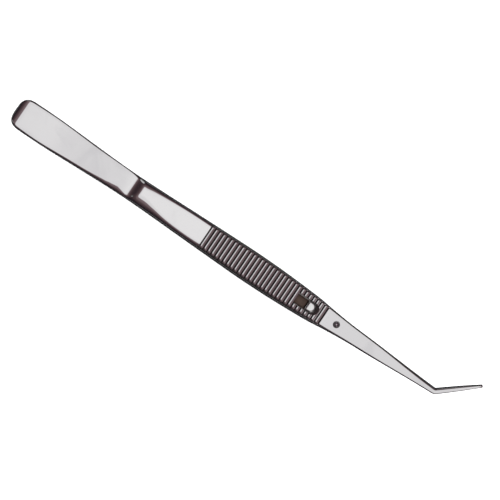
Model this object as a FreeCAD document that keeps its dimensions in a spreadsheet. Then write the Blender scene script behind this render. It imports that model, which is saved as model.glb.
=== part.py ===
import FreeCAD, Part
import os
import re

import Sketcher

# Locking tweezers with ribbed grips and tips bent sideways, closed, in millimetres.
#
# The arms are drawn along X from the tail's end, with Z = 0 on the plane where they meet.
# The upper arm lies above that plane and the lower arm is its mirror image below it.
# Each piece is then placed so that the lower arm's smooth outer face rests on Z = 0,
# with the origin at that face's centre. The tips bend towards +Y.

SIZES = [
    # the whole arm, along its length
    ("weld_length", 11.0, "length over which the tails are welded together"),
    ("spring_length", 30.6, "length of the springy stretch, from the weld to the shoulder"),
    ("shoulder_length", 2.0, "length of the shoulder's ramp"),
    ("smooth_length", 24.0, "length of the smooth handle, from the shoulder to the first groove"),
    ("swell_length", 16.4, "first groove to the grip's widest place, to the nearest groove"),
    ("grip_length", 42.4, "length of the ribbed grip, up to where the handle starts to thin"),
    ("taper_length", 18.0, "length over which the handle narrows into the nose"),
    ("nose_length", 21.6, "length of the slim, straight nose"),
    ("tip_length", 14.4, "length of the bent tip"),
    ("tip_angle", 40.0, "angle of the bent tip, in degrees"),
    # widths, seen from above
    ("tail_width", 9.8, "width of the tail"),
    ("tail_corner", 2.6, "radius of the tail's corners"),
    ("shoulder_width", 8.0, "width at the shoulder"),
    ("handle_width", 8.95, "width at the first rib"),
    ("grip_width", 9.4, "largest width of the grip"),
    ("latch_width", 8.4, "width of the grip beside the slot's tail end, at latch_share"),
    ("latch_share", 0.62, "where it is measured: 0 at the widest place, 1 where thinning starts"),
    ("taper_width", 6.95, "width where the handle starts to thin"),
    ("guide_width", 6.0, "width at the guide pin"),
    ("neck_width", 4.5, "width where the slim nose becomes straight"),
    ("bend_width", 1.9, "width at the bend"),
    ("tip_width", 1.0, "width of the tip's end"),
    # thicknesses and gaps, seen from the side
    ("tail_thickness", 1.5, "thickness of one arm at the tail"),
    ("spring_thickness", 1.2, "thickness of the springy stretch"),
    ("handle_thickness", 2.4, "thickness of the handle"),
    ("tip_thickness", 0.9, "thickness of the tip's end"),
    ("handle_gap", 3.6, "gap between the closed handles"),
    ("tip_gap", 0.08, "gap between the closed tips"),
    ("edge_round", 0.55, "radius of the outer edges of the tail and the springy stretch"),
    ("edge_bevel", 0.35, "bevel of the outer edges of the handle, nose and tip"),
    # ribs of the grip
    ("rib_pitch", 1.35, "distance from one groove to the next"),
    ("groove_width", 0.7, "width of a groove at the face"),
    ("groove_depth", 0.32, "depth of a groove"),
    # fine teeth inside the bent tips
    ("teeth_pitch", 0.8, "distance from one fine groove to the next"),
    ("teeth_start", 1.8, "bend to the first fine groove"),
    ("teeth_end", 1.2, "smooth end of the tip, past the last fine groove"),
    ("teeth_width", 0.35, "width of a fine groove"),
    ("teeth_depth", 0.14, "depth of a fine groove"),
    # slot, catch and rivets
    ("slot_setback", 3.1, "slot's round end to where the handle starts to thin"),
    ("slot_length", 6.8, "length of the slot"),
    ("slot_width", 3.6, "width of the slot"),
    ("seat_length", 0.9, "how far the catch's seat reaches past the slot"),
    ("seat_depth", 0.6, "depth of the catch's seat below the outer face"),
    ("catch_clearance", 0.2, "gap between the catch's head and the slot's sides"),
    ("nose_clearance", 0.2, "gap between the open catch's nose and the slot's end"),
    ("head_length", 2.8, "length of the catch's head"),
    ("head_thickness", 1.0, "thickness of the catch's head"),
    ("head_lift", 0.48, "gap between the open catch's head and its seat"),
    ("head_round", 0.3, "radius of the head's upper edge"),
    ("strip_thickness", 0.7, "thickness of the catch's spring strip"),
    ("strip_step", 0.1, "how much the catch's head overhangs its strip on each side"),
    ("strip_gap", 0.12, "gap between the catch's foot and its hook"),
    ("strip_lift", 0.1, "gap between the catch's hook and the lower arm"),
    ("foot_length", 14.0, "length of the catch's foot"),
    ("rivet_diameter", 1.5, "diameter of a rivet's shank"),
    ("rivet_head_width", 2.4, "diameter of a rivet's head"),
    ("rivet_head_height", 0.5, "height of a rivet's head"),
    ("rivet_pitch", 4.0, "distance between the two rivets"),
    ("rivet_margin", 2.6, "foot's end to the first rivet"),
    # guide pin
    ("guide_distance", 4.4, "where the handle starts to thin to the guide pin"),
    ("pin_diameter", 1.6, "diameter of the guide pin"),
    ("pin_clearance", 0.2, "gap round the pin in the upper arm's hole"),
    ("pin_dome", 0.4, "height of the pin's domed end"),
    ("pin_recess", 0.1, "depth of the pin's ends below the arms' outer faces"),
    ("press_clearance", 0.01, "gap round the pin and rivets where they are pressed in"),
]

# what follows from the sizes; the places are measured from the tail's end
DERIVED = [
    ("shoulder_start", "weld_length + spring_length", "the foot of the shoulder"),
    ("grip_start", "shoulder_start + shoulder_length + smooth_length", "the first groove's side"),
    (
        "grip_widest",
        "grip_start + round(swell_length / rib_pitch) * rib_pitch + groove_width / 2",
        "the grip's widest place, in the middle of a groove, so no groove's edge lies along it",
    ),
    ("taper_start", "grip_start + grip_length", "where the handle starts to thin"),
    (
        "latch_place",
        "grip_widest + latch_share * (taper_start - grip_widest)",
        "where latch_width is measured, so the grip's sides stay smooth at any length",
    ),
    ("neck_start", "taper_start + taper_length", "where the nose becomes straight"),
    ("bend_start", "neck_start + nose_length", "the sideways bend"),
    ("slot_end", "taper_start - slot_setback", "the slot's round end"),
    ("slot_start", "slot_end - slot_length", "the slot's square end"),
    ("guide_place", "taper_start + guide_distance", "the guide pin"),
    ("strip_width", "slot_width - 2 * (catch_clearance + strip_step)", "width of the catch's strip"),
    ("rib_count", "floor(grip_length / rib_pitch) + 1", "number of grooves in each grip"),
    (
        "teeth_count",
        "floor((tip_length - teeth_start - teeth_end - teeth_width) / teeth_pitch) + 1",
        "number of fine grooves inside each tip",
    ),
    ("rim_bevel", "min(edge_bevel; 0.44 * tip_width)", "the bevel, limited by the tip's width"),
]

doc = FreeCAD.newDocument("tweezers")
sheet = doc.addObject("Spreadsheet::Sheet", "Sizes")
rows = SIZES + [(alias, f"={formula}", meaning) for alias, formula, meaning in DERIVED]
for row, (alias, value, meaning) in enumerate(rows, start=1):
    sheet.set(f"A{row}", meaning)
    sheet.setAlias(f"B{row}", alias)
    sheet.set(f"B{row}", str(value))
doc.recompute()

# shared places and heights, as formulas of the sheet's sizes
HALF_GAP = "handle_gap / 2"
HALF_TIP_GAP = "tip_gap / 2"
OUTER = "(handle_gap / 2 + handle_thickness)"
SHOULDER_END = "(shoulder_start + shoulder_length)"
REST_CENTRE = f"(({SHOULDER_END} + grip_start) / 2)"
TIP_X = "(bend_start + tip_length * cos(tip_angle))"
TIP_Y = "(tip_length * sin(tip_angle))"
ARM_END = f"({TIP_X} + tip_width)"
SIDE_REACH = f"({TIP_Y} + tail_width)"
TIP_OUTER = "(tip_gap / 2 + tip_thickness)"
# how far along the outer face's taper the guide pin stands, from 0 to 1, and the face there
GUIDE_SHARE = f"((guide_place - taper_start) / ({ARM_END} - taper_start))"
GUIDE_OUTER = f"({OUTER} + ({TIP_OUTER} - {OUTER}) * {GUIDE_SHARE})"
# the catch
SEAT_FLOOR = f"({OUTER} - seat_depth)"
HEAD_BOTTOM = f"({SEAT_FLOOR} + head_lift)"
HEAD_NOSE = "(slot_end - nose_clearance)"
HEAD_HALF_WIDTH = "(slot_width / 2 - catch_clearance)"
HEAD_TAIL = f"({HEAD_NOSE} - head_length)"
HINGE_X = f"({HEAD_TAIL} + strip_thickness / 2)"
HINGE_Z = f"(-{HALF_GAP} + strip_thickness / 2 + strip_lift)"


def on_sheet(formula):
    """The formula with each size's name led to the sheet; a size's name has an underscore."""
    return re.sub(r"\b[a-z]+(?:_[a-z]+)+\b", r"Sizes.\g<0>", formula)


def value_of(formula):
    """The formula's value, in millimetres or degrees."""
    return float(sheet.evalExpression(formula))


def bind(item, name, formula):
    """Sets one of an object's properties by a formula of the sheet's sizes."""
    item.setExpression(name, on_sheet(formula))


# ---------------------------------------------------------------- sketches


def new_sketch(body, name, plane, height=None):
    """A sketch on one of the body's own planes, moved along the plane's normal by height."""
    sketch = body.newObject("Sketcher::SketchObject", f"{body.Name}_{name}")
    origin_plane = [part for part in body.Origin.OriginFeatures if part.Role == plane][0]
    sketch.AttachmentSupport = [(origin_plane, "")]
    sketch.MapMode = "FlatFace"
    if height is not None:
        bind(sketch, "AttachmentOffset.Base.z", height)
    return sketch


def pin_point(sketch, geometry, end, x, y):
    """Ties one point of a sketch's geometry to two formulas."""
    for kind, formula in (("DistanceX", x), ("DistanceY", y)):
        number = sketch.addConstraint(
            Sketcher.Constraint(kind, -1, 1, geometry, end, value_of(formula))
        )
        sketch.setExpression(f"Constraints[{number}]", on_sheet(formula))


def point_at(x, y):
    return FreeCAD.Vector(value_of(x), value_of(y), 0)


def draw_outline(sketch, corners):
    """Draws a closed outline. A corner is (x, y), reached by a straight line, or
    (via_x, via_y, x, y), reached by an arc through the via point."""
    edges = []
    for number, corner in enumerate(corners):
        start = corners[number - 1][-2:]
        end = corner[-2:]
        if len(corner) == 2:
            shape = Part.LineSegment(point_at(*start), point_at(*end))
            edge = sketch.addGeometry(shape)
            first, last = 1, 2
        else:
            shape = Part.Arc(point_at(*start), point_at(*corner[:2]), point_at(*end))
            edge = sketch.addGeometry(shape)
            turns_left = shape.toShape().Curve.Axis.z > 0
            first, last = (1, 2) if turns_left else (2, 1)
            via = sketch.addGeometry(Part.Point(point_at(*corner[:2])), True)
            pin_point(sketch, via, 1, *corner[:2])
            sketch.addConstraint(Sketcher.Constraint("PointOnObject", via, 1, edge))
        edges.append((edge, first, last))
        pin_point(sketch, edge, last, *end)
    for number, (edge, first, last) in enumerate(edges):
        before, _, before_last = edges[number - 1]
        sketch.addConstraint(Sketcher.Constraint("Coincident", before, before_last, edge, first))


def draw_circle(sketch, x, y, diameter):
    """Draws a circle tied to its centre and its diameter."""
    circle = Part.Circle(point_at(x, y), FreeCAD.Vector(0, 0, 1), value_of(diameter) / 2)
    edge = sketch.addGeometry(circle)
    pin_point(sketch, edge, 3, x, y)
    number = sketch.addConstraint(Sketcher.Constraint("Diameter", edge, value_of(diameter)))
    sketch.setExpression(f"Constraints[{number}]", on_sheet(diameter))


# ---------------------------------------------------------------- features


def new_body(label):
    """An empty body, placed so that the lower arm's outer face lies on Z = 0."""
    body = doc.addObject("PartDesign::Body", label)
    body.Label = label
    bind(body, "Placement.Base.x", f"-{REST_CENTRE}")
    bind(body, "Placement.Base.z", OUTER)
    return body


def pad(body, sketch, length, both_ways=False):
    feature = body.newObject("PartDesign::Pad", f"{sketch.Name}_pad")
    feature.Profile = sketch
    feature.SideType = "Symmetric" if both_ways else "One side"
    bind(feature, "Length", length)
    sketch.Visibility = False
    return feature


def cut_through(body, sketch, both_ways=True, upwards=False):
    feature = body.newObject("PartDesign::Pocket", f"{sketch.Name}_cut")
    feature.Profile = sketch
    feature.Type = "ThroughAll"
    feature.SideType = "Symmetric" if both_ways else "One side"
    feature.Reversed = upwards
    return feature


def cap(rim_radius, rim_z, height):
    """A corner for draw_outline: the half outline of a spherical cap, from its rim to the axis."""
    sphere = f"(({rim_radius})^2 + ({height})^2) / (2 * {height})"
    via_x = f"({rim_radius}) / 2"
    via_z = f"{rim_z} + {height} - {sphere} + sqrt(({sphere})^2 - ({via_x})^2)"
    return (via_x, via_z, "0", f"{rim_z} + {height}")


def revolve(body, sketch, x):
    """Turns a half outline, drawn on the XZ plane, about the upright line through x."""
    feature = body.newObject("PartDesign::Revolution", f"{sketch.Name}_turn")
    feature.Profile = sketch
    feature.ReferenceAxis = (sketch, ["V_Axis"])
    feature.Angle = 360
    bind(sketch, "AttachmentOffset.Base.x", x)
    return feature


def trim_to_plan(body, corners):
    """Cuts away all of the body that lies outside an outline seen from above."""
    sketch = new_sketch(body, "plan", "XY_Plane")
    before = "-tail_width"
    after = f"({ARM_END} + tail_width)"
    reach = f"({SIDE_REACH} + tail_width)"
    frame = [(before, f"-{reach}"), (after, f"-{reach}"), (after, reach), (before, reach)]
    draw_outline(sketch, frame)
    draw_outline(sketch, corners)
    return cut_through(body, sketch)


def flat_bar(body, side, plan):
    """A bar with one outline seen from the side and another seen from above."""
    sketch = new_sketch(body, "side", "XZ_Plane")
    draw_outline(sketch, side)
    pad(body, sketch, f"2 * {SIDE_REACH}", both_ways=True)
    trim_to_plan(body, plan)
    doc.recompute()


def mirrored(side, corners):
    """Corners seen from the side, for the upper arm as they are, for the lower one below Z = 0."""
    if side == "upper":
        return corners
    return [
        tuple(f"-({value})" if place % 2 else value for place, value in enumerate(corner))
        for corner in corners
    ]


# how far a wall's normal may lean from level, and an outer face's must, and when two places are one
WALL_TILT = 0.1
FACE_TILT = 0.5
TOUCH = 0.01


def normal_beside(face, point):
    """The outward normal of a face at the point of it nearest to a given point."""
    return face.normalAt(*face.Surface.parameter(point))


def ease_outer_rim(body, side, kind, size, start, end):
    """Rounds or bevels the edges between the outer face and the walls round it, from one
    place on X to another, apart from edges on an upright plane at either place."""
    solid = body.Tip.Shape
    outwards = 1 if side == "upper" else -1
    low, high = value_of(start), value_of(end)
    chosen = []
    for number, edge in enumerate(solid.Edges, start=1):
        middle = edge.valueAt((edge.FirstParameter + edge.LastParameter) / 2)
        faces = solid.ancestorsOfType(edge, Part.Face)
        tilts = sorted(outwards * normal_beside(face, middle).z for face in faces)
        on_rim = abs(tilts[0]) < WALL_TILT and tilts[-1] > FACE_TILT
        inside = all(low - TOUCH < vertex.X < high + TOUCH for vertex in edge.Vertexes)
        if on_rim and inside and low + TOUCH < middle.x < high - TOUCH:
            chosen.append(f"Edge{number}")
    base = body.Tip
    feature = body.newObject(f"PartDesign::{kind}", f"{body.Name}_rim")
    feature.Base = (base, chosen)
    bind(feature, "Radius" if kind == "Fillet" else "Size", size)
    doc.recompute()


# ---------------------------------------------------------------- the arms


def half(width):
    return f"{width} / 2"


def tail(side):
    """The welded end of one arm, with rounded corners."""
    body = new_body(f"{side}_tail")
    profile = [
        ("0", "0"),
        ("weld_length", "0"),
        ("weld_length", "tail_thickness"),
        ("0", "tail_thickness"),
    ]
    corner_x = "tail_corner * (1 - sin(45))"
    corner_y = "tail_width / 2 - tail_corner * (1 - cos(45))"
    inner_y = "tail_width / 2 - tail_corner"
    plan = [
        ("weld_length", f"-({half('tail_width')})"),
        ("weld_length", half("tail_width")),
        ("tail_corner", half("tail_width")),
        (corner_x, corner_y, "0", inner_y),
        ("0", f"-({inner_y})"),
        (corner_x, f"-({corner_y})", "tail_corner", f"-({half('tail_width')})"),
    ]
    flat_bar(body, mirrored(side, profile), plan)
    ease_outer_rim(body, side, "Fillet", "edge_round", "0", "weld_length")
    return body


def spring(side):
    """The thin, springy stretch between the tail and the shoulder."""
    body = new_body(f"{side}_spring")
    profile = [
        ("weld_length", "0"),
        ("shoulder_start", HALF_GAP),
        ("shoulder_start", f"{HALF_GAP} + spring_thickness"),
        ("weld_length", "tail_thickness"),
    ]
    plan = [
        ("weld_length", f"-({half('tail_width')})"),
        ("shoulder_start", f"-({half('shoulder_width')})"),
        ("shoulder_start", half("shoulder_width")),
        ("weld_length", half("tail_width")),
    ]
    flat_bar(body, mirrored(side, profile), plan)
    ease_outer_rim(body, side, "Fillet", "edge_round", "weld_length", "shoulder_start")
    return body


def arm(side):
    """The stiff stretch of one arm: shoulder, handle with its ribs, slim nose and bent tip."""
    body = new_body(f"{side}_arm")
    profile = [
        ("shoulder_start", HALF_GAP),
        ("taper_start", HALF_GAP),
        ("bend_start", HALF_TIP_GAP),
        (ARM_END, HALF_TIP_GAP),
        (ARM_END, TIP_OUTER),
        ("taper_start", OUTER),
        (SHOULDER_END, OUTER),
        ("shoulder_start", f"{HALF_GAP} + spring_thickness"),
    ]
    mitre = "bend_width / 2 * tan(tip_angle / 2)"
    end_x = "tip_width / 2 * sin(tip_angle)"
    end_y = "tip_width / 2 * cos(tip_angle)"
    plan = [
        ("shoulder_start", f"-({half('shoulder_width')})"),
        ("grip_start", f"-({half('handle_width')})", "grip_widest", f"-({half('grip_width')})"),
        ("latch_place", f"-({half('latch_width')})", "taper_start", f"-({half('taper_width')})"),
        ("guide_place", f"-({half('guide_width')})", "neck_start", f"-({half('neck_width')})"),
        (f"bend_start + {mitre}", f"-({half('bend_width')})"),
        (f"{TIP_X} + {end_x}", f"{TIP_Y} - {end_y}"),
        (f"{TIP_X} - {end_x}", f"{TIP_Y} + {end_y}"),
        (f"bend_start - {mitre}", half("bend_width")),
        ("neck_start", half("neck_width")),
        ("guide_place", half("guide_width"), "taper_start", half("taper_width")),
        ("latch_place", half("latch_width"), "grip_widest", half("grip_width")),
        ("grip_start", half("handle_width"), "shoulder_start", half("shoulder_width")),
    ]
    flat_bar(body, mirrored(side, profile), plan)
    ease_outer_rim(body, side, "Chamfer", "rim_bevel", "shoulder_start", ARM_END)
    return body


def ribs(body, side):
    """The grooves across the grip."""
    middle = "(grip_start + groove_width / 2)"
    half_floor = "groove_width / 4"
    flare = "groove_width * 3 / 8"
    # how far past the face the cut reaches, as a share of its depth: clear of the next groove's cut
    past_face = 0.25
    half_top = f"({half_floor} + {flare} * (1 + {past_face}))"
    top = f"{OUTER} + groove_depth * {past_face}"
    bottom = f"{OUTER} - groove_depth"
    groove = [
        (f"{middle} - {half_top}", top),
        (f"{middle} - {half_floor}", bottom),
        (f"{middle} + {half_floor}", bottom),
        (f"{middle} + {half_top}", top),
    ]
    sketch = new_sketch(body, "groove", "XZ_Plane")
    draw_outline(sketch, mirrored(side, groove))
    first = cut_through(body, sketch)
    pattern = body.newObject("PartDesign::LinearPattern", f"{body.Name}_ribs")
    pattern.Originals = [first]
    pattern.Direction = (sketch, ["H_Axis"])
    bind(pattern, "Length", "(rib_count - 1) * rib_pitch")
    bind(pattern, "Occurrences", "rib_count")
    body.Tip = pattern


def tip_point(along, across):
    """A place on the bent tip, by its distance from the bend and from the tip's middle line."""
    x = f"bend_start + ({along}) * cos(tip_angle) - ({across}) * sin(tip_angle)"
    y = f"({along}) * sin(tip_angle) + ({across}) * cos(tip_angle)"
    return (x, y)


def teeth(body, side):
    """Fine grooves across the inner face of the bent tip."""
    sign = "" if side == "upper" else "-"
    sketch = new_sketch(body, "tooth", "XY_Plane", f"{sign}{HALF_TIP_GAP}")
    last = "teeth_start + teeth_width"
    outline = [
        tip_point("teeth_start", "-bend_width"),
        tip_point(last, "-bend_width"),
        tip_point(last, "bend_width"),
        tip_point("teeth_start", "bend_width"),
    ]
    draw_outline(sketch, outline)
    way = sketch.addGeometry(Part.LineSegment(point_at("bend_start", "0"), point_at(TIP_X, TIP_Y)), True)
    pin_point(sketch, way, 1, "bend_start", "0")
    pin_point(sketch, way, 2, TIP_X, TIP_Y)
    first = body.newObject("PartDesign::Pocket", f"{sketch.Name}_cut")
    first.Profile = sketch
    first.Reversed = side == "upper"
    bind(first, "Length", "teeth_depth")
    pattern = body.newObject("PartDesign::LinearPattern", f"{body.Name}_teeth")
    pattern.Originals = [first]
    pattern.Direction = (sketch, ["Axis0"])
    bind(pattern, "Length", "(teeth_count - 1) * teeth_pitch")
    bind(pattern, "Occurrences", "teeth_count")
    body.Tip = pattern


def round_slot(sketch, start, end, width):
    """A slot along X with a square end at start and a round one at end."""
    straight = f"{end} - {half(width)}"
    draw_outline(
        sketch,
        [
            (start, f"-({half(width)})"),
            (straight, f"-({half(width)})"),
            (end, "0", straight, half(width)),
            (start, half(width)),
        ],
    )


def upper_arm():
    """The upper arm has the slot, the seat for the catch's nose, and the guide hole."""
    body = arm("upper")
    ribs(body, "upper")
    teeth(body, "upper")
    slot = new_sketch(body, "slot", "XY_Plane")
    round_slot(slot, "slot_start", "slot_end", "slot_width")
    cut_through(body, slot)
    seat = new_sketch(body, "seat", "XY_Plane", SEAT_FLOOR)
    round_slot(seat, "slot_end - slot_width / 2", "slot_end + seat_length", "slot_width")
    cut_through(body, seat, both_ways=False, upwards=True)
    hole = new_sketch(body, "guide_hole", "XY_Plane")
    draw_circle(hole, "guide_place", "0", "pin_diameter + 2 * pin_clearance")
    cut_through(body, hole)
    return body


def lower_arm():
    """The lower arm holds the guide pin and the two rivets of the catch."""
    body = arm("lower")
    ribs(body, "lower")
    teeth(body, "lower")
    holes = new_sketch(body, "holes", "XY_Plane")
    draw_circle(holes, "guide_place", "0", "pin_diameter + 2 * press_clearance")
    for number in range(RIVETS):
        place = f"{RIVET_X} + {number} * rivet_pitch"
        draw_circle(holes, place, "0", "rivet_diameter + 2 * press_clearance")
    cut_through(body, holes)
    return body


# ---------------------------------------------------------------- catch, rivets and pin

RIVETS = 2
FOOT_END = f"({HEAD_TAIL} - strip_gap)"
FOOT_START = f"({FOOT_END} - foot_length)"
RIVET_X = f"({FOOT_START} + rivet_margin)"


def catch_foot():
    """The riveted end of the catch's spring strip, flat on the lower arm's inner face."""
    body = new_body("catch_foot")
    sketch = new_sketch(body, "strip", "XY_Plane", f"-{HALF_GAP}")
    outline = [
        (FOOT_START, f"-({half('strip_width')})"),
        (FOOT_END, f"-({half('strip_width')})"),
        (FOOT_END, half("strip_width")),
        (FOOT_START, half("strip_width")),
    ]
    draw_outline(sketch, outline)
    for number in range(RIVETS):
        place = f"{RIVET_X} + {number} * rivet_pitch"
        draw_circle(sketch, place, "0", "rivet_diameter + 2 * press_clearance")
    pad(body, sketch, "strip_thickness")
    return body


def catch_hook():
    """The upright end of the strip and the head that hooks over the upper arm's seat."""
    body = new_body("catch_hook")
    upright = new_sketch(body, "upright", "XZ_Plane")
    left = f"{HINGE_X} - strip_thickness / 2"
    right = f"{HINGE_X} + strip_thickness / 2"
    outline = [
        (left, HINGE_Z),
        (HINGE_X, f"{HINGE_Z} - strip_thickness / 2", right, HINGE_Z),
        (right, f"{HEAD_BOTTOM} + head_thickness / 2"),
        (left, f"{HEAD_BOTTOM} + head_thickness / 2"),
    ]
    draw_outline(upright, outline)
    pad(body, upright, "strip_width", both_ways=True)
    head = new_sketch(body, "head", "XY_Plane", HEAD_BOTTOM)
    round_slot(head, HEAD_TAIL, HEAD_NOSE, f"(2 * {HEAD_HALF_WIDTH})")
    pad(body, head, "head_thickness")
    doc.recompute()
    top = value_of(f"{HEAD_BOTTOM} + head_thickness")
    solid = body.Tip.Shape
    rim = [
        f"Edge{number}"
        for number, edge in enumerate(solid.Edges, start=1)
        if all(abs(vertex.Z - top) < TOUCH for vertex in edge.Vertexes)
    ]
    base = body.Tip
    rounding = body.newObject("PartDesign::Fillet", "head_rim")
    rounding.Base = (base, rim)
    bind(rounding, "Radius", "head_round")
    return body


def catch_rivets():
    """Two rivets with domed heads on the foot, ground flush below the grip's ribs."""
    body = new_body("catch_rivets")
    body.AllowCompound = True
    sketch = new_sketch(body, "rivet", "XZ_Plane")
    shank = "rivet_diameter / 2"
    head = "rivet_head_width / 2"
    seat = f"(-{HALF_GAP} + strip_thickness)"
    outline = [
        ("0", f"-{OUTER} + groove_depth"),
        (shank, f"-{OUTER} + groove_depth"),
        (shank, seat),
        (head, seat),
        cap(head, seat, "rivet_head_height"),
    ]
    draw_outline(sketch, outline)
    first = revolve(body, sketch, RIVET_X)
    pattern = body.newObject("PartDesign::LinearPattern", "rivet_row")
    pattern.Originals = [first]
    pattern.Direction = (sketch, ["H_Axis"])
    bind(pattern, "Length", f"{RIVETS - 1} * rivet_pitch")
    pattern.Occurrences = RIVETS
    body.Tip = pattern
    return body


def guide_pin():
    """The pin that keeps the tips in line: fixed in the lower arm, domed in the upper arm's hole."""
    body = new_body("guide_pin")
    sketch = new_sketch(body, "profile", "XZ_Plane")
    radius = "pin_diameter / 2"
    top = f"({GUIDE_OUTER} - pin_recess)"
    outline = [
        ("0", f"-{top}"),
        (radius, f"-{top}"),
        (radius, f"{top} - pin_dome"),
        cap(radius, f"({top} - pin_dome)", "pin_dome"),
    ]
    draw_outline(sketch, outline)
    revolve(body, sketch, "guide_place")
    return body


# ---------------------------------------------------------------- build, check and write

pieces = [
    tail("upper"),
    tail("lower"),
    spring("upper"),
    spring("lower"),
    upper_arm(),
    lower_arm(),
    catch_foot(),
    catch_hook(),
    catch_rivets(),
    guide_pin(),
]
doc.recompute()

for item in doc.Objects:
    if "Invalid" in item.State or "Error" in item.State:
        raise RuntimeError(f"{item.Label} could not be built: {item.State}")
    if item.isDerivedFrom("PartDesign::Feature") and not item.Shape.Solids:
        raise RuntimeError(f"{item.Label} left nothing of its piece")
for piece in pieces:
    if piece.Shape.isNull() or not piece.Shape.isValid():
        raise RuntimeError(f"{piece.Label} has no valid shape")

os.makedirs("parts", exist_ok=True)
for piece in pieces:
    piece.Shape.exportStep(f"parts/{piece.Label}.step")
    print(f"{piece.Label}: {len(piece.Shape.Solids)} solid, {piece.Shape.Volume:.1f} mm3")
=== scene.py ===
import math

import bmesh
import bpy
from mathutils import Matrix, Vector


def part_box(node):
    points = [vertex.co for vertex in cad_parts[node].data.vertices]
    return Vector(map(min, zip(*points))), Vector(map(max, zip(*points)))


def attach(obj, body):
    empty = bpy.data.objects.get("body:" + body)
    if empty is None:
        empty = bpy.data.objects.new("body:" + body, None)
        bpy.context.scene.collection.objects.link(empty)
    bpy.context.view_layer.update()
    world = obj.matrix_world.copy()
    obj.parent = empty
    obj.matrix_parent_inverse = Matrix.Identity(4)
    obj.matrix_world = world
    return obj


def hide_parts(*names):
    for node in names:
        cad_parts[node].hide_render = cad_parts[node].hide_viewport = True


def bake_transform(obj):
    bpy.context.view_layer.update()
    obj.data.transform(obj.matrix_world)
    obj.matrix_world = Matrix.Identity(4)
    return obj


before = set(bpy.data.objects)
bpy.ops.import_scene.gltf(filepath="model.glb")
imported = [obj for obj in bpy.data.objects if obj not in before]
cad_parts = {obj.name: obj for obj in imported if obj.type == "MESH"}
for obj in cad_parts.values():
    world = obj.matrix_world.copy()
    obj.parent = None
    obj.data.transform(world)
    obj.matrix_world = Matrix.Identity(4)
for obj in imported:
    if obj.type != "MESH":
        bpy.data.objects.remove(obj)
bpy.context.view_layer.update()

# Locking tweezers: two polished arms welded at the tail, a catch that hooks through the upper arm,
# two rivets that hold the catch, and a guide pin.
# Lengths are in metres; MM turns millimetres into metres.
MM = 0.001

# ---------------------------------------------------------------- places taken from the frame

tail_low, tail_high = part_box("upper_tail")
spring_low, spring_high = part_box("upper_spring")
arm_low, arm_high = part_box("upper_arm")
foot_low, foot_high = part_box("catch_foot")
hook_low, hook_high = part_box("catch_hook")
pin_low, pin_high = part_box("guide_pin")

TAIL_END = tail_low.x
MEETING = tail_low.z  # height of the plane where the arms meet
WELD_LENGTH = spring_low.x - TAIL_END
SHOULDER = arm_low.x - TAIL_END
FACE_HEIGHT = arm_high.z - MEETING
HALF_GAP = MEETING - foot_low.z
TAIL_THICKNESS = tail_high.z - MEETING
SPRING_THICKNESS = spring_high.z - MEETING - HALF_GAP
PIN_PLACE = (pin_low.x + pin_high.x) / 2 - TAIL_END
PIN_RADIUS = (pin_high.x - pin_low.x) / 2
NOSE = hook_high.x - TAIL_END

# ---------------------------------------------------------------- the arms' own sizes

SHOULDER_FOOT = SHOULDER - 0.2 * MM
SHOULDER_LENGTH = 3.6 * MM
TAPER_START = 110.0 * MM
BEND = 149.6 * MM
BEND_ANGLE = math.radians(40)
BEND_RADIUS = 1.5 * MM
TIP_LENGTH = 14.4 * MM
TIP_HALF_GAP = 0.04 * MM
TIP_FACE = 0.98 * MM
TAIL_ROUND = 4.5 * MM
TAIL_NOSE = 3.0 * MM
TIP_ROUND = 0.3 * MM
INNER_BEVEL = 0.12 * MM
CROWN = 0.03 * MM
ROUND_STEPS = 12

RIB_START = 67.6 * MM
RIB_PITCH = 1.35 * MM
RIB_COUNT = 32
GROOVE_WIDTH = 0.52 * MM
GROOVE_DEPTH = 0.3 * MM
RIB_WIDTH = RIB_PITCH - GROOVE_WIDTH
# how far a rib's top leans at its tail side, and at its tip side on the first and on the last rib
LEAN_BACK = math.radians(1)
LEAN_FIRST = math.radians(16)
LEAN_LAST = math.radians(9)
LEAN_REACHED = 0.5 * RIB_WIDTH
TOOTH_START = 1.8 * MM
TOOTH_PITCH = 0.8 * MM
TOOTH_COUNT = 14
TOOTH_DEPTH = 0.14 * MM

# the slot and the seat for the catch's nose
SLOT_START = 100.1 * MM
SLOT_END = NOSE + 0.2 * MM
SLOT_WIDTH = 3.6 * MM
SEAT_REACH = 0.9 * MM
SEAT_DEPTH = 0.6 * MM
RIM_BEVEL = 0.1 * MM
PIN_CLEARANCE = 0.2 * MM

# the catch: its domed head is on a bent strip
HEAD_THICKNESS = 1.0 * MM
HEAD_DOME = 0.62  # how far the dome draws the head's edge in, in millimetres
STRIP_WIDTH = 3.0 * MM
STRIP_CORNER = 0.14 * MM
STRIP_BEND = 0.9 * MM

# the pin and the rivets
PIN_DOME = 0.4 * MM
PIN_BEVEL = 0.15 * MM
RIVET_RADIUS = 0.75 * MM
RIVET_DOME = 0.5 * MM
RIVET_BEVEL = 0.1 * MM

# half widths along the arm: (distance from the tail's end, half width), in millimetres
HALF_WIDTHS = [
    (0, 4.85), (8, 4.88), (14, 4.8), (26, 4.32), (34, 4.02), (42, 3.88), (52, 4.02), (60, 4.22),
    (76, 4.56), (84, 4.66), (93, 4.52), (101, 4.18), (106.5, 3.84), (112, 3.2), (119, 2.6),
    (128, 2.17), (141, 1.38), (149.6, 0.98), (157, 0.82), (164, 0.5),
]
# width of the rounded border between the outer face and the side that the tips bend to, likewise
INNER_BORDERS = [
    (0, 0.7), (12, 0.42), (26, 0.5), (40, 0.5), (43, 1.6), (45, 2.4), (48, 1.9), (54, 1.4), (62, 1.2),
    (70, 1.4), (84, 1.4), (106, 1.1), (112, 0.6), (128, 0.55), (149.6, 0.95), (164, 0.5),
]
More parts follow.
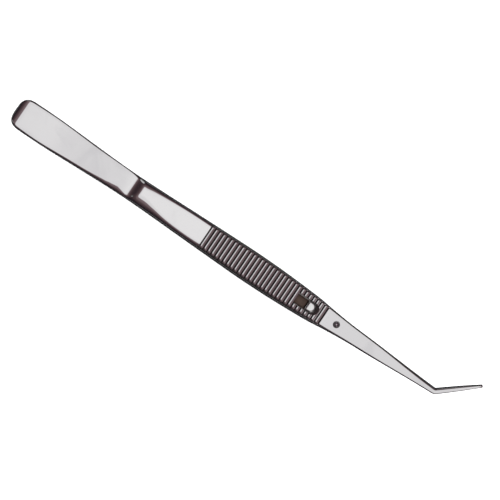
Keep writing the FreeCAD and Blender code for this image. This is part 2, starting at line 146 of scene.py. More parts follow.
# and the same on the other side, where the polishing has dipped the face before and after the shoulder
OUTER_BORDERS = [
    (0, 0.9), (10, 0.6), (20, 0.9), (28, 1.0), (34, 1.6), (38, 2.5), (41, 1.2), (43, 2.4), (45.5, 3.8),
    (50, 2.9), (55, 1.9), (62, 1.6), (70, 1.9), (84, 1.9), (106, 1.6), (112, 0.7), (128, 0.4),
    (149.6, 0.25), (164, 0.15),
]
# the rounding's height is the least of ROUND_HEIGHT, a share of the arm's thickness,
# and ROUND_BASE with a share of the border's width added
ROUND_HEIGHT = 1.6 * MM
ROUND_SHARE = 0.7
ROUND_BASE = 0.9 * MM
ROUND_BORDER_SHARE = 0.25
# a border takes up at most this share of the arm's half width
WIDEST_BORDER = 0.93

# the path of an arm's middle line: straight, then a short bend, then the tip
BEND_TANGENT = BEND_RADIUS * math.tan(BEND_ANGLE / 2)
BEND_START = BEND - BEND_TANGENT
BEND_END = BEND_START + BEND_RADIUS * BEND_ANGLE
ARM_LENGTH = BEND_END + TIP_LENGTH - BEND_TANGENT


def smooth_step(value):
    """0 below 0, 1 above 1, and a soft slope between them."""
    value = min(max(value, 0.0), 1.0)
    return value * value * (3 - 2 * value)


def along_curve(points, place):
    """The value at a place of a smooth curve through points, in metres, from points in millimetres."""
    place = place / MM
    last = len(points) - 1
    for number in range(last):
        (x0, y0), (x1, y1) = points[number], points[number + 1]
        if place > x1 and number < last - 1:
            continue
        before = points[max(number - 1, 0)]
        after = points[min(number + 2, last)]
        step = x1 - x0
        slope0 = (y1 - before[1]) / (x1 - before[0])
        slope1 = (after[1] - y0) / (after[0] - x0)
        part = min(max((place - x0) / step, 0.0), 1.0)
        rise = part * part * (3 - 2 * part)
        curve = y0 + (y1 - y0) * rise
        curve += step * slope0 * part * (1 - part) ** 2
        curve -= step * slope1 * part * part * (1 - part)
        return curve * MM
    return points[-1][1] * MM


def path_at(place):
    """Where an arm's middle line is seen from above, and the way across it."""
    if place <= BEND_START:
        turn, point = 0.0, Vector((place, 0.0))
    elif place <= BEND_END:
        turn = (place - BEND_START) / BEND_RADIUS
        point = Vector((BEND_START + BEND_RADIUS * math.sin(turn), BEND_RADIUS * (1 - math.cos(turn))))
    else:
        turn = BEND_ANGLE
        along = place - BEND_END
        start = Vector((BEND_START + BEND_RADIUS * math.sin(turn), BEND_RADIUS * (1 - math.cos(turn))))
        point = start + along * Vector((math.cos(turn), math.sin(turn)))
    return point, Vector((-math.sin(turn), math.cos(turn)))


def half_width(place):
    """Half the arm's width, with the tail's rounded corners and the tip's rounded end."""
    width = along_curve(HALF_WIDTHS, place)
    if place < TAIL_ROUND:
        width *= (1 - (1 - place / TAIL_ROUND) ** 3) ** (1 / 3)
    left = ARM_LENGTH - place
    if left < TIP_ROUND:
        width *= 0.45 + 0.55 * math.sqrt(max(0.0, 1 - (1 - left / TIP_ROUND) ** 2))
    return width


def inner_height(place):
    """Height of an arm's inner face above the plane where the arms meet."""
    if place < SHOULDER:
        return HALF_GAP * smooth_step((place - WELD_LENGTH) / (SHOULDER - WELD_LENGTH))
    if place < TAPER_START:
        return HALF_GAP
    taper = min((place - TAPER_START) / (BEND - TAPER_START), 1.0)
    return HALF_GAP + (TIP_HALF_GAP - HALF_GAP) * taper


def outer_height(place):
    """Height of an arm's outer face above the plane where the arms meet."""
    thinning = 12 * MM
    thin = smooth_step((place - WELD_LENGTH) / thinning)
    height = inner_height(place) + TAIL_THICKNESS + (SPRING_THICKNESS - TAIL_THICKNESS) * thin
    if place > SHOULDER_FOOT:
        rise = smooth_step((place - SHOULDER_FOOT) / SHOULDER_LENGTH)
        height = height + (FACE_HEIGHT - height) * rise
    if place > SHOULDER_FOOT + SHOULDER_LENGTH:
        height = FACE_HEIGHT
    easing = 3 * MM
    slope = (TIP_FACE - FACE_HEIGHT) / (ARM_LENGTH - TAPER_START)
    if place > TAPER_START + easing:
        height = FACE_HEIGHT + slope * (place - TAPER_START)
    elif place > TAPER_START - easing:
        height = FACE_HEIGHT + slope * (place - TAPER_START + easing) ** 2 / (4 * easing)
    if place < TAIL_NOSE:
        height *= math.sqrt(1 - (1 - place / TAIL_NOSE) ** 2)
    left = ARM_LENGTH - place
    if left < TIP_ROUND:
        height *= 0.6 + 0.4 * math.sqrt(max(0.0, 1 - (1 - left / TIP_ROUND) ** 2))
    return height


def lean_drop(along, lean):
    """How far a rib's top has dropped at a distance along it: rounded at first, then a flat slope."""
    curved = min(along, LEAN_REACHED)
    drop = LEAN_BACK * curved + (lean - LEAN_BACK) * curved * curved / (2 * LEAN_REACHED)
    return drop + lean * (along - curved)


def rib_depth(place):
    """How far the grip lies below the outer face: deep in a groove, slightly on a rib's leaning top."""
    number = math.floor((place - RIB_START) / RIB_PITCH)
    if number < 0 or number >= RIB_COUNT:
        return 0.0
    within = place - RIB_START - number * RIB_PITCH
    lean = LEAN_FIRST + (LEAN_LAST - LEAN_FIRST) * (number / RIB_COUNT) ** 4
    last_drop = lean_drop(RIB_WIDTH, lean) if number else 0.0
    if within < GROOVE_WIDTH:
        share = within / GROOVE_WIDTH
        return last_drop * (1 - share) + GROOVE_DEPTH * (1 - abs(2 * share - 1) ** 2.6)
    if number == RIB_COUNT - 1:
        return 0.0
    return lean_drop(within - GROOVE_WIDTH, lean)


def tooth_depth(place):
    """How deep the fine grooves inside the tip are at a place."""
    start = BEND_END + TOOTH_START
    number = round((place - start) / TOOTH_PITCH)
    if number < 0 or number >= TOOTH_COUNT:
        return 0.0
    offset = abs(place - start - number * TOOTH_PITCH) / TOOTH_PITCH
    return TOOTH_DEPTH * max(0.0, math.cos(math.pi * offset)) ** 2


# ---------------------------------------------------------------- mesh tools


def new_piece(name, verts, faces, materials):
    """A smooth-shaded mesh object with the given materials."""
    mesh = bpy.data.meshes.new(name)
    mesh.from_pydata([tuple(v) for v in verts], [], faces)
    mesh.validate()
    for material in materials:
        mesh.materials.append(material)
    piece = bpy.data.objects.new(name, mesh)
    bpy.context.scene.collection.objects.link(piece)
    return piece


def outward(piece):
    """Turns every face of a closed mesh outwards."""
    shape = bmesh.new()
    shape.from_mesh(piece.data)
    bmesh.ops.recalc_face_normals(shape, faces=shape.faces)
    shape.to_mesh(piece.data)
    shape.free()


def shade(piece, angle):
    """Smooth shading with sharp edges where faces meet at more than an angle, in degrees."""
    for face in piece.data.polygons:
        face.use_smooth = True
    piece.data.set_sharp_from_angle(angle=math.radians(angle))


def lofted(name, rings, materials):
    """A closed skin over rings of equally many points, capped at both ends."""
    verts, faces = [], []
    size = len(rings[0])
    for ring in rings:
        verts.extend(ring)
    for row in range(len(rings) - 1):
        for column in range(size):
            after = (column + 1) % size
            low, high = row * size, (row + 1) * size
            faces.append((low + column, low + after, high + after, high + column))
    faces.append(tuple(range(size - 1, -1, -1)))
    faces.append(tuple(range((len(rings) - 1) * size, len(rings) * size)))
    piece = new_piece(name, verts, faces, materials)
    outward(piece)
    return piece


def combine(piece, other, operation):
    """Cuts another closed mesh out of a piece, or joins it on, and removes the other mesh."""
    modifier = piece.modifiers.new("combine", "BOOLEAN")
    modifier.operation = operation
    modifier.solver = "EXACT"
    modifier.object = other
    bpy.context.view_layer.update()
    whole = bpy.data.meshes.new_from_object(
        piece.evaluated_get(bpy.context.evaluated_depsgraph_get())
    )
    piece.modifiers.clear()
    piece.data = whole
    bpy.data.objects.remove(other)


def slot_outline(start, end, width, grow, steps=16):
    """A slot seen from above, square at start and round at end, made larger all round by grow."""
    radius = width / 2 + grow
    centre = end - width / 2
    outline = [(start - grow, -radius), (centre, -radius)]
    for step in range(1, steps):
        turn = -math.pi / 2 + math.pi * step / steps
        outline.append((centre + radius * math.cos(turn), radius * math.sin(turn)))
    outline += [(centre, radius), (start - grow, radius)]
    return outline


def circle_outline(centre, radius, steps=48):
    """A circle seen from above, about a place on the arm's middle line."""
    turns = [2 * math.pi * step / steps for step in range(steps)]
    return [(centre + radius * math.cos(turn), radius * math.sin(turn)) for turn in turns]


# ---------------------------------------------------------------- arms


def arm_places():
    """Distances from the tail's end at which an arm's rings are set, closer where it curves."""
    places = [TAIL_ROUND * (1 - math.cos(math.pi / 2 * step / 22)) for step in range(1, 23)]
    places += [place * MM for place in range(6, 41, 2)]
    places += [SHOULDER_FOOT + SHOULDER_LENGTH * step / 16 for step in range(-2, 19)]
    places += [place * MM for place in range(45, 67)]
    for rib in range(RIB_COUNT):
        start = RIB_START + rib * RIB_PITCH
        groove_shares = [0, 0.06, 0.15, 0.28, 0.42, 0.58, 0.72, 0.85, 0.94, 1]
        rib_shares = [0.08, 0.2, 0.35, 0.5, 0.65, 0.8, 0.93]
        places += [start + GROOVE_WIDTH * share for share in groove_shares]
        places += [start + GROOVE_WIDTH + RIB_WIDTH * share for share in rib_shares]
    places += [PIN_PLACE + step * 0.25 * MM for step in range(-8, 9)]
    places += [place * MM for place in range(118, 148, 2)]
    places += [BEND_START + (BEND_END - BEND_START) * step / 8 for step in range(-1, 10)]
    tooth_step = TOOTH_PITCH / 8
    first_tooth = BEND_END + TOOTH_START - TOOTH_PITCH / 2
    places += [first_tooth + tooth_step * step for step in range(8 * TOOTH_COUNT + 1)]
    places += [ARM_LENGTH - TIP_ROUND * (1 - math.sin(math.pi / 2 * step / 6)) for step in range(7)]
    kept = []
    for place in sorted(places):
        if place <= ARM_LENGTH + 1e-9 and (not kept or place - kept[-1] > 0.015 * MM):
            kept.append(place)
    return kept


def side_of_section(place, border, sign):
    """Half an arm's outline across: from the outer face's middle, round the side, to the inner face."""
    width = half_width(place)
    inner = inner_height(place)
    top = outer_height(place)
    thickness = top - inner
    border = min(border, WIDEST_BORDER * width)
    rounded = min(ROUND_HEIGHT, ROUND_SHARE * thickness, ROUND_BASE + ROUND_BORDER_SHARE * border)
    wall = top - rounded
    flat = width - border
    floor = top - rib_depth(place)
    bevel = min(INNER_BEVEL, 0.3 * width, 0.3 * thickness)
    points = [(flat * share, top) for share in (0.3, 0.6, 0.85, 1.0)]
    for step in range(1, ROUND_STEPS + 1):
        turn = math.pi / 2 * step / ROUND_STEPS
        points.append((flat + border * math.sin(turn), wall + rounded * math.cos(turn)))
    crowned = []
    for across, height in points:
        drop = CROWN * (across / width) ** 2
        crowned.append((across, min(height, floor) - drop))
    low_wall = crowned[-1][1]
    foot = inner + bevel
    points = crowned + [(width, foot + (low_wall - foot) * share) for share in (0.6, 0.25, 0.0)]
    tooth = tooth_depth(place)
    points += [((width - bevel) * share, inner + tooth) for share in (1.0, 0.7, 0.35)]
    return [(sign * across, height) for across, height in points]


def arm_section(place):
    """The closed outline across an arm: (distance across, height above the meeting plane)."""
    near = side_of_section(place, along_curve(INNER_BORDERS, place), 1)
    far = side_of_section(place, along_curve(OUTER_BORDERS, place), -1)
    top = outer_height(place) - rib_depth(place)
    bottom = inner_height(place) + tooth_depth(place)
    return [(0.0, top), *near, (0.0, bottom), *reversed(far)]


def arm_mesh(name, up, materials):
    """One whole arm, from the weld to the bent tip. up is 1 for the upper arm, -1 for the lower."""
    rings = []
    for place in arm_places():
        point, across_way = path_at(place)
        ring = []
        for across, height in arm_section(place):
            spot = point + across * across_way
            ring.append((TAIL_END + spot.x, spot.y, MEETING + up * height))
        rings.append(ring)
    return lofted(name, rings, materials)


def cutter(name, outlines, levels):
    """A closed prism through the upper arm: one outline, seen from above, at each level."""
    rings = [
        [(TAIL_END + x, y, MEETING + level) for x, y in outline]
        for outline, level in zip(outlines, levels)
    ]
    return lofted(name, rings, [])


def cut_slot(arm):
    """The slot for the catch, the seat for its nose and the guide hole, each with a bevelled rim."""
    spare = 1.0 * MM
    floor = HALF_GAP - spare
    top = FACE_HEIGHT
    levels = [floor, top - RIM_BEVEL, top + RIM_BEVEL, top + spare]
    grows = [0, 0, 2 * RIM_BEVEL, 2 * RIM_BEVEL]
    slot = [slot_outline(SLOT_START, SLOT_END, SLOT_WIDTH, grow) for grow in grows]
    combine(arm, cutter("slot_cutter", slot, levels), "DIFFERENCE")
    seat_levels = [top - SEAT_DEPTH, top - RIM_BEVEL, top + RIM_BEVEL, top + spare]
    seat_start = SLOT_END - SLOT_WIDTH / 2
    # a little wider than the slot, so that no face of one cut falls together with one of the other
    clear = 0.01 * MM
    grows = [clear, clear, 2.1 * RIM_BEVEL, 2.1 * RIM_BEVEL]
    seat = [slot_outline(seat_start, SLOT_END + SEAT_REACH, SLOT_WIDTH, grow) for grow in grows]
    combine(arm, cutter("seat_cutter", seat, seat_levels), "DIFFERENCE")
    at_pin = outer_height(PIN_PLACE)
    levels = [inner_height(PIN_PLACE) - spare, at_pin - RIM_BEVEL, at_pin + RIM_BEVEL, at_pin + spare]
    radius = PIN_RADIUS + PIN_CLEARANCE
    hole = [circle_outline(PIN_PLACE, radius + grow) for grow in (0, 0, 2 * RIM_BEVEL, 2 * RIM_BEVEL)]
    combine(arm, cutter("guide_cutter", hole, levels), "DIFFERENCE")


def mark_inner_faces(arm, up):
    """Gives the inner faces, which face the other arm, the second material: ground steel whose darker
    colour is painted shade between the arms.
    """
    reach = 0.3 * MM
    least_facing = 0.3
    for face in arm.data.polygons:
        facing = -up * face.normal.z
        place = face.center.x - TAIL_END
        level = up * (face.center.z - MEETING)
        near_inner = level < inner_height(min(place, BEND)) + reach
        face.material_index = 1 if facing > least_facing and near_inner else 0


def mark_recesses(arm, up):
    """Stores how deep each point of the handle lies in a groove, the slot or the seat, from 0 to 1, as
    the mask for painted shade.
    """
    recess = arm.data.attributes.new("recess", "FLOAT", "POINT")
    edge = 0.5 * MM
    leaning = 0.17 * MM
    fading = 0.12 * MM
    for vertex in arm.data.vertices:
        place = vertex.co.x - TAIL_END
        depth = outer_height(place) - up * (vertex.co.z - MEETING)
        on_face = abs(vertex.co.y) < half_width(place) - edge
        in_handle = RIB_START - MM < place < PIN_PLACE - 2 * PIN_RADIUS
        if in_handle and on_face:
            recess.data[vertex.index].value = smooth_step((depth - leaning) / fading)


# ---------------------------------------------------------------- catch


def strip_path():
    """The catch's strip seen from the side: flat foot, round bend, then straight up into the head."""
    thickness = foot_high.z - foot_low.z
    level = foot_low.z + thickness / 2
    upright = hook_low.x + thickness / 2
    radius = STRIP_BEND
    flat = upright - radius - foot_low.x
    points = [(foot_low.x + flat * step / 10, level, 0.0) for step in range(11)]
    for step in range(1, 9):
        turn = math.pi / 2 * step / 8
        x = upright - radius + radius * math.sin(turn)
        points.append((x, level + radius * (1 - math.cos(turn)), turn))
    below_top = 0.5 * MM
    top = hook_high.z - below_top
    start = level + radius
    points += [(upright, start + (top - start) * step / 6, math.pi / 2) for step in range(1, 7)]
    return points, thickness


def strip_section(width, thickness, corner, steps=4):
    """A rounded rectangle: (across, away from the path)."""
    points = []
    for quarter in range(4):
        turn = math.pi / 2 * quarter
        x = (width / 2 - corner) * (1 if quarter in (0, 3) else -1)
        y = (thickness / 2 - corner) * (1 if quarter in (0, 1) else -1)
        for step in range(steps + 1):
            angle = turn + math.pi / 2 * step / steps
            points.append((x + corner * math.cos(angle), y + corner * math.sin(angle)))
    return points


def catch_head(materials):
    """The D-shaped head: square at the back, a round nose in front, domed all round its top."""
    width = hook_high.y - hook_low.y
    back = hook_low.x - TAIL_END
    bottom = hook_high.z - HEAD_THICKNESS
    rings = []
    levels = [(0.0, 0.06), (0.06, 0.0), (0.3, 0.0)]
    for step in range(1, 11):
        turn = math.pi / 2 * step / 10
        levels.append((0.3 + 0.7 * math.sin(turn), HEAD_DOME * (1 - math.cos(turn))))
    levels.append((1.0, HEAD_DOME + 0.25))
    for share, inset in levels:
        shrink = -inset * MM
        outline = slot_outline(back, NOSE, width, shrink, steps=24)
        rings.append([(TAIL_END + x, y, bottom + HEAD_THICKNESS * share) for x, y in outline])
    return lofted("catch_head", rings, materials)


def catch_mesh(materials):
    """The whole catch: one bent strip of tempered steel with its polished head."""
    points, thickness = strip_path()
    section = strip_section(STRIP_WIDTH, thickness, STRIP_CORNER)
    rings = []
    for x, z, turn in points:
        away = Vector((-math.sin(turn), 0, math.cos(turn)))
        ring = [Vector((x, across, z)) + away * out for across, out in section]
        rings.append(ring)
    piece = lofted("catch_strip", rings, materials)
    head = catch_head(materials)
    combine(piece, head, "UNION")
    lowest_polished = hook_high.z - HEAD_THICKNESS - 0.02 * MM
    for face in piece.data.polygons:
        face.material_index = 1 if face.center.z > lowest_polished else 0
    return piece


# ---------------------------------------------------------------- pin and rivets


def turned(name, centres, profile, materials):
    """Solids of revolution about upright lines: profile is (radius, height) from the bottom up."""
    verts, faces = [], []
    sides = 56
    for centre in centres:
        first = len(verts)
        for radius, height in profile:
            for step in range(sides):
                turn = 2 * math.pi * step / sides
                verts.append((centre + radius * math.cos(turn), radius * math.sin(turn), height))
        for row in range(len(profile) - 1):
            for step in range(sides):
                after = (step + 1) % sides
                low, high = first + row * sides, first + (row + 1) * sides
                faces.append((low + step, low + after, high + after, high + step))
        last = first + (len(profile) - 1) * sides
        faces.append(tuple(range(first + sides - 1, first - 1, -1)))
        faces.append(tuple(range(last, last + sides)))
    piece = new_piece(name, verts, faces, materials)
    outward(piece)
    return piece


def dome(rim_radius, rim_height, rise, steps=12):
    """(radius, height) pairs of a spherical dome from its rim to just beside its top."""
    sphere = (rim_radius**2 + rise**2) / (2 * rise)
    widest = math.asin(rim_radius / sphere)
    turns = [widest * (1 - step / steps) for step in range(steps)] + [widest / 40]
    base = rim_height + rise - sphere
    return [(sphere * math.sin(turn), base + sphere * math.cos(turn)) for turn in turns]


def guide_pin_mesh(materials):
    """The pin: a bevelled foot, a straight shank and a domed end."""
    bottom, top = pin_low.z, pin_high.z
    profile = [(PIN_RADIUS - PIN_BEVEL, bottom), (PIN_RADIUS, bottom + PIN_BEVEL)]
    profile.append((PIN_RADIUS, top - PIN_DOME - PIN_BEVEL))
    profile += dome(PIN_RADIUS, top - PIN_DOME, PIN_DOME)
    return turned("guide_pin_turned", [TAIL_END + PIN_PLACE], profile, materials)


def rivets_mesh(materials):
    """Two rivets: flat shanks ground flush outside, domed heads on the strip."""
    low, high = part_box("catch_rivets")
    head_radius = (high.y - low.y) / 2
    shank = RIVET_RADIUS
    seat = high.z - RIVET_DOME
    rim = 0.04 * MM
    rim_inset = 0.05 * MM
    centres = [low.x + head_radius, high.x - head_radius]
    profile = [(shank - RIVET_BEVEL, low.z), (shank, low.z + RIVET_BEVEL), (shank, seat)]
    profile.append((head_radius - rim_inset, seat))
    profile += dome(head_radius, seat + rim, RIVET_DOME - rim)
    return turned("rivets_turned", centres, profile, materials)


# ---------------------------------------------------------------- materials


def add(tree, kind, **values):
    """A node with some of its properties or input values set."""
    node = tree.nodes.new(kind)
    for name, value in values.items():
        if hasattr(node, name):
            setattr(node, name, value)
        else:
            node.inputs[name.replace("_", " ")].default_value = value
    return node


def polish_marks_group():
    """Fine polishing lines and soft finger smudges. Puts out a mask of each and a height."""
    group = bpy.data.node_groups.new("polish_marks", "ShaderNodeTree")
    for name, kind, way in (
        ("Line Density", "NodeSocketFloat", "INPUT"),
        ("Stretch", "NodeSocketVector", "INPUT"),
        ("Lines", "NodeSocketFloat", "OUTPUT"),
        ("Smudge", "NodeSocketFloat", "OUTPUT"),
        ("Height", "NodeSocketFloat", "OUTPUT"),
    ):
        group.interface.new_socket(name, in_out=way, socket_type=kind)
    source = group.nodes.new("NodeGroupInput")
    result = group.nodes.new("NodeGroupOutput")
    place = add(group, "ShaderNodeTexCoord")
    stretched = add(group, "ShaderNodeVectorMath", operation="MULTIPLY")
    group.links.new(place.outputs["Object"], stretched.inputs[0])
    group.links.new(source.outputs["Stretch"], stretched.inputs[1])
    lines = add(group, "ShaderNodeTexNoise", Detail=6.0, Roughness=0.65)
    group.links.new(stretched.outputs[0], lines.inputs["Vector"])
    group.links.new(source.outputs["Line Density"], lines.inputs["Scale"])
    sharp = add(group, "ShaderNodeMapRange", interpolation_type="SMOOTHSTEP")
    sharp.inputs["From Min"].default_value = 0.38
    sharp.inputs["From Max"].default_value = 0.72
    group.links.new(lines.outputs["Fac"], sharp.inputs["Value"])
    smudge = add(group, "ShaderNodeTexNoise", Scale=95.0, Detail=3.0, Distortion=0.8)
    group.links.new(place.outputs["Object"], smudge.inputs["Vector"])
    soft = add(group, "ShaderNodeMapRange", interpolation_type="SMOOTHSTEP")
    soft.inputs["From Min"].default_value = 0.45
    soft.inputs["From Max"].default_value = 0.75
    group.links.new(smudge.outputs["Fac"], soft.inputs["Value"])
    group.links.new(sharp.outputs["Result"], result.inputs["Lines"])
    group.links.new(soft.outputs["Result"], result.inputs["Smudge"])
    group.links.new(lines.outputs["Fac"], result.inputs["Height"])
    return group


POLISH_MARKS = polish_marks_group()


def paint_recess_shade(tree, colour, rough):
    """Adds painted shade in the recesses to a colour, makes a roughness duller there, and gives both
    back.
    """
    recess = add(tree, "ShaderNodeAttribute", attribute_name="recess")
    painted_shade = add(tree, "ShaderNodeMix", data_type="RGBA")
    # painted shade: the recesses turn near black in the base colour
    painted_shade.inputs["B"].default_value = (0.045, 0.035, 0.036, 1)
    tree.links.new(recess.outputs["Fac"], painted_shade.inputs["Factor"])
    tree.links.new(colour, painted_shade.inputs["A"])
    dull = add(tree, "ShaderNodeMix", data_type="FLOAT")
    dull.inputs["B"].default_value = 0.42
    tree.links.new(recess.outputs["Fac"], dull.inputs["Factor"])
    tree.links.new(rough, dull.inputs["A"])
    return painted_shade.outputs["Result"], dull.outputs["Result"]


def steel(name, light, dark, roughness, spread, stretch, density, bump, recess_shade=False):
    """A metal with polishing lines: light and dark are its two tones, roughness its smoothest value."""
    material = bpy.data.materials.new(name)
    material.use_nodes = True
    tree = material.node_tree
    tree.nodes.clear()
    output = add(tree, "ShaderNodeOutputMaterial")
    shader = add(tree, "ShaderNodeBsdfPrincipled", Metallic=1.0)
    tree.links.new(shader.outputs["BSDF"], output.inputs["Surface"])
    marks = tree.nodes.new("ShaderNodeGroup")
    marks.node_tree = POLISH_MARKS
    marks.inputs["Line Density"].default_value = density
    marks.inputs["Stretch"].default_value = stretch
    tone = add(tree, "ShaderNodeMix", data_type="RGBA")
    tone.inputs["A"].default_value = (*light, 1)
    tone.inputs["B"].default_value = (*dark, 1)
    tree.links.new(marks.outputs["Smudge"], tone.inputs["Factor"])
    both = add(tree, "ShaderNodeMath", operation="MULTIPLY_ADD")
    both.inputs[1].default_value = 0.6
    tree.links.new(marks.outputs["Smudge"], both.inputs[0])
    tree.links.new(marks.outputs["Lines"], both.inputs[2])
    rough = add(tree, "ShaderNodeMapRange")
    rough.inputs["From Max"].default_value = 1.6
    rough.inputs["To Min"].default_value = roughness
    rough.inputs["To Max"].default_value = roughness + spread
    tree.links.new(both.outputs[0], rough.inputs["Value"])
    colour, roughness_value = tone.outputs["Result"], rough.outputs["Result"]
    # paints shade into the grooves, the slot and the seat
    if recess_shade:
        colour, roughness_value = paint_recess_shade(tree, colour, roughness_value)
    tree.links.new(colour, shader.inputs["Base Color"])
    tree.links.new(roughness_value, shader.inputs["Roughness"])
    relief = add(tree, "ShaderNodeBump", Strength=bump, Distance=0.00002)
    tree.links.new(marks.outputs["Height"], relief.inputs["Height"])
    tree.links.new(relief.outputs["Normal"], shader.inputs["Normal"])
    return material


mirror_steel = steel(
    "mirror_polished_steel",
    light=(0.69, 0.68, 0.685),
    dark=(0.64, 0.63, 0.64),
    roughness=0.03,
    spread=0.07,
    stretch=(0.06, 1.0, 1.0),
    density=2600,
    bump=0.04,
    # with painted shade in the grooves, the slot and the seat
    recess_shade=True,
)
# ground satin finish; its darker colour is painted shade between the arms
ground_steel_with_shade = steel(
    "ground_inner_steel_painted_shade",
    light=(0.40, 0.38, 0.37),
    dark=(0.30, 0.28, 0.27),
    roughness=0.34,
    spread=0.2,
    stretch=(1.0, 0.05, 1.0),
    density=3200,
    bump=0.35,
)
strip_steel = steel(
    "tempered_strip_steel",
    light=(0.15, 0.105, 0.085),
    dark=(0.09, 0.065, 0.06),
    roughness=0.36,
    spread=0.2,
    stretch=(0.15, 1.0, 1.0),
    density=2800,
    bump=0.25,
)
head_steel = steel(
    "polished_head_steel",
    light=(0.70, 0.695, 0.69),
    dark=(0.62, 0.61, 0.61),
    roughness=0.08,
    spread=0.1,
    stretch=(1.0, 0.3, 1.0),
    density=2800,
    bump=0.1,
)
pin_steel = steel(
    "turned_pin_steel",
    light=(0.50, 0.47, 0.50),
    dark=(0.42, 0.40, 0.43),
    roughness=0.06,
    spread=0.1,
    stretch=(1.0, 1.0, 0.2),
    density=3000,
    bump=0.12,
)

# ---------------------------------------------------------------- build the pieces

upper = arm_mesh("upper_arm_whole", 1, [mirror_steel, ground_steel_with_shade])
cut_slot(upper)
lower = arm_mesh("lower_arm_whole", -1, [mirror_steel, ground_steel_with_shade])
for piece, up in ((upper, 1), (lower, -1)):
    mark_inner_faces(piece, up)
    mark_recesses(piece, up)
    shade(piece, 32)
catch = catch_mesh([strip_steel, head_steel])
pin = guide_pin_mesh([pin_steel])
rivets = rivets_mesh([pin_steel])
for piece in (catch, pin, rivets):
    shade(piece, 40)

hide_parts("upper_tail", "upper_spring", "upper_arm")
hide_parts("lower_tail", "lower_spring", "lower_arm")
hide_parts("catch_foot", "catch_hook")
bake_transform(upper)
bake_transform(lower)
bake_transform(catch)

for piece, node in ((pin, "guide_pin"), (rivets, "catch_rivets")):
    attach(piece, "lower_arm")
    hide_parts(node)

# ---------------------------------------------------------------- floor, light and camera


def pale_floor():
    """A wide, plain, pale floor. For polished metal its colour is painted dark near by, a painted dark
    reflection as if black cards lay there.
    """
    mesh = bpy.data.meshes.new("floor")
    reach = 4.0
    # below the lowest place that the open lower arm reaches, so no pose dips into it
    level = -8 * MM
    sides = [(-reach, -reach), (reach, -reach), (reach, reach), (-reach, reach)]
    corners = [(x, y, level) for x, y in sides]
    mesh.from_pydata(corners, [], [(0, 1, 2, 3)])
    floor = bpy.data.objects.new("floor", mesh)
    bpy.context.scene.collection.objects.link(floor)
    material = bpy.data.materials.new("pale_floor")
    material.use_nodes = True
    tree = material.node_tree
    shader = tree.nodes["Principled BSDF"]
    shader.inputs["Roughness"].default_value = 0.9
    shader.inputs["Specular IOR Level"].default_value = 0.1
    place = add(tree, "ShaderNodeTexCoord")
    distance = add(tree, "ShaderNodeVectorMath", operation="LENGTH")
    tree.links.new(place.outputs["Object"], distance.inputs[0])
    painted_dark_reflection = add(tree, "ShaderNodeMapRange", interpolation_type="SMOOTHSTEP")
    painted_dark_reflection.inputs["From Min"].default_value = 0.15
    painted_dark_reflection.inputs["From Max"].default_value = 0.6
    painted_dark_reflection.inputs["To Min"].default_value = 0.012
    painted_dark_reflection.inputs["To Max"].default_value = 0.3
    tree.links.new(distance.outputs["Value"], painted_dark_reflection.inputs["Value"])
    # painted reflection: glossy rays see the painted dark colour, camera and diffuse rays see the pale
    # floor
    ray = add(tree, "ShaderNodeLightPath")
    tone = add(tree, "ShaderNodeMix", data_type="RGBA")
    tone.inputs["A"].default_value = (0.95, 0.95, 0.95, 1)
    tree.links.new(painted_dark_reflection.outputs["Result"], tone.inputs["B"])
    tree.links.new(ray.outputs["Is Glossy Ray"], tone.inputs["Factor"])
    tree.links.new(tone.outputs["Result"], shader.inputs["Base Color"])
    mesh.materials.append(material)


def brightest(tree, first, second):
    """The larger of two values."""
    node = add(tree, "ShaderNodeMath", operation="MAXIMUM")
    tree.links.new(first, node.inputs[0])
    tree.links.new(second, node.inputs[1])
    return node.outputs[0]


def towards(tree, way, direction):
    """How nearly a ray points in a direction: 1 when it does, 0 or less when it is square to it."""
    facing = add(tree, "ShaderNodeVectorMath", operation="DOT_PRODUCT")
    facing.inputs[1].default_value = Vector(direction).normalized()
    tree.links.new(way, facing.inputs[0])
    return facing.outputs["Value"]


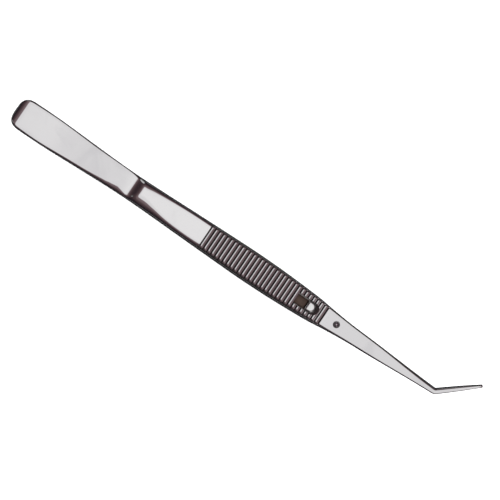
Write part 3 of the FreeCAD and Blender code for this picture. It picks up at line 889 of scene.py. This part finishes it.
def studio():
    """A pale room for the eye and the floor. The metal sees a dark room, a soft box and panels."""
    world = bpy.data.worlds.new("studio")
    bpy.context.scene.world = world
    world.use_nodes = True
    tree = world.node_tree
    tree.nodes.clear()
    output = add(tree, "ShaderNodeOutputWorld")
    room = add(tree, "ShaderNodeBackground", Strength=1.8)
    room.inputs["Color"].default_value = (0.97, 0.97, 0.98, 1)
    seen = add(tree, "ShaderNodeBackground", Strength=1.1)
    pick = add(tree, "ShaderNodeMixShader")
    ray = add(tree, "ShaderNodeLightPath")
    tree.links.new(ray.outputs["Is Glossy Ray"], pick.inputs["Fac"])
    tree.links.new(room.outputs[0], pick.inputs[1])
    tree.links.new(seen.outputs[0], pick.inputs[2])
    tree.links.new(pick.outputs[0], output.inputs["Surface"])
    way = add(tree, "ShaderNodeTexCoord").outputs["Generated"]

    # the soft box overhead, its brown rim, and the dark room below it: (how nearly overhead, colour)
    overhead = add(tree, "ShaderNodeValToRGB")
    stops = [
        (0.0, (0.012, 0.009, 0.012)),
        (0.5, (0.022, 0.014, 0.019)),
        (0.77, (0.09, 0.058, 0.062)),
        (0.937, (0.24, 0.18, 0.19)),
        (0.951, (0.84, 0.835, 0.845)),
        (0.992, (0.88, 0.878, 0.885)),
        (1.0, (1.0, 1.0, 1.0)),
    ]
    ramp = overhead.color_ramp
    for number, (position, colour) in enumerate(stops):
        stop = ramp.elements[number] if number < 2 else ramp.elements.new(position)
        stop.position = position
        stop.color = (*colour, 1)
    tree.links.new(towards(tree, way, (0.0, 0.03, 1)), overhead.inputs["Fac"])

    # panels at the corners of the room: direction, the cosine at the edge and inside, brightness
    panels = [
        ((-0.62, 0.64, 0.36), 0.955, 0.98, 0.6),
        ((0.66, -0.66, 0.26), 0.94, 0.97, 0.7),
        ((-0.80, -0.36, 0.50), 0.975, 0.99, 0.45),
    ]
    height = towards(tree, way, (0, 0, 1))
    glow = add(tree, "ShaderNodeMapRange", interpolation_type="SMOOTHSTEP")
    glow.inputs["From Min"].default_value = 0.22
    glow.inputs["From Max"].default_value = 0.0
    glow.inputs["To Max"].default_value = 0.12
    tree.links.new(height, glow.inputs["Value"])
    light = glow.outputs["Result"]
    for direction, edge, inside, brightness in panels:
        panel = add(tree, "ShaderNodeMapRange", interpolation_type="SMOOTHSTEP")
        panel.inputs["From Min"].default_value = edge
        panel.inputs["From Max"].default_value = inside
        panel.inputs["To Max"].default_value = brightness
        tree.links.new(towards(tree, way, direction), panel.inputs["Value"])
        light = brightest(tree, light, panel.outputs["Result"])
    both = add(tree, "ShaderNodeMix", data_type="RGBA", blend_type="LIGHTEN")
    both.inputs["Factor"].default_value = 1.0
    tree.links.new(overhead.outputs["Color"], both.inputs["A"])
    tree.links.new(light, both.inputs["B"])
    tree.links.new(both.outputs["Result"], seen.inputs["Color"])

    key = bpy.data.lights.new("key_light", "AREA")
    key.energy = 2.0
    key.size = 0.5
    lamp = bpy.data.objects.new("key_light", key)
    lamp.location = (-0.2, 0.35, 0.9)
    lamp.rotation_euler = (-lamp.location).to_track_quat("-Z", "Y").to_euler()
    lamp.visible_glossy = False
    bpy.context.scene.collection.objects.link(lamp)


def camera():
    """Looks almost straight down, with the tail at the upper left and the tips at the lower right."""
    lens = 180.0
    sensor = 36.0
    seen_width = 147.4 * MM
    target = Vector((25.3 * MM, 4.0 * MM, MEETING + FACE_HEIGHT))
    tilt = math.radians(1.6)
    roll = math.radians(34)
    back = Vector((0, -math.sin(tilt), math.cos(tilt)))
    across = back.cross(Vector((1, 0, 0)))
    right = Vector((1, 0, 0)) * math.cos(roll) + across * math.sin(roll)
    up = across * math.cos(roll) - Vector((1, 0, 0)) * math.sin(roll)
    data = bpy.data.cameras.new("camera")
    data.lens = lens
    data.sensor_width = sensor
    data.clip_start = 0.01
    eye = bpy.data.objects.new("camera", data)
    turn = Matrix((right, up, back)).transposed()
    distance = seen_width / 2 / (sensor / 2 / lens)
    eye.matrix_world = Matrix.Translation(target + back * distance) @ turn.to_4x4()
    bpy.context.scene.collection.objects.link(eye)
    bpy.context.scene.camera = eye


pale_floor()
studio()
camera()
bpy.context.scene.view_settings.view_transform = "Standard"
